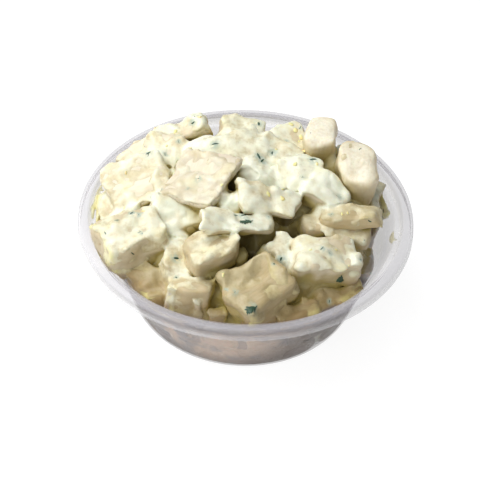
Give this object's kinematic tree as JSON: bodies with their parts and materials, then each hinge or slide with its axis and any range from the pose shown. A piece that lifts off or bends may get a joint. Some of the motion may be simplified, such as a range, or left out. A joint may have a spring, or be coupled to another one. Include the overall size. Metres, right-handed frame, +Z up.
{
  "type": "hearts of palm salad",
  "caption": "Creamy hearts of palm salad with dill, heaped above the rim of a round, shallow, clear plastic deli tub with a wide stepped lip.",
  "frame": {"origin": "centre of the tub's foot, on the surface that it stands on", "axes": "+Z up out of the tub's mouth; -Y towards the viewer of the picture, +X to the viewer's right, where the tub is part empty"},
  "size_m": [0.145, 0.145, 0.0715],
  "materials": {
    "clear_plastic": "thin moulded polypropylene, milky clear, satin",
    "creamy_salad": "moist food: cream dressing over pale pieces, with dill"
  },
  "bodies": {
    "root": {"tub": "clear_plastic", "salad": "creamy_salad"}
  },
  "joints": []
}
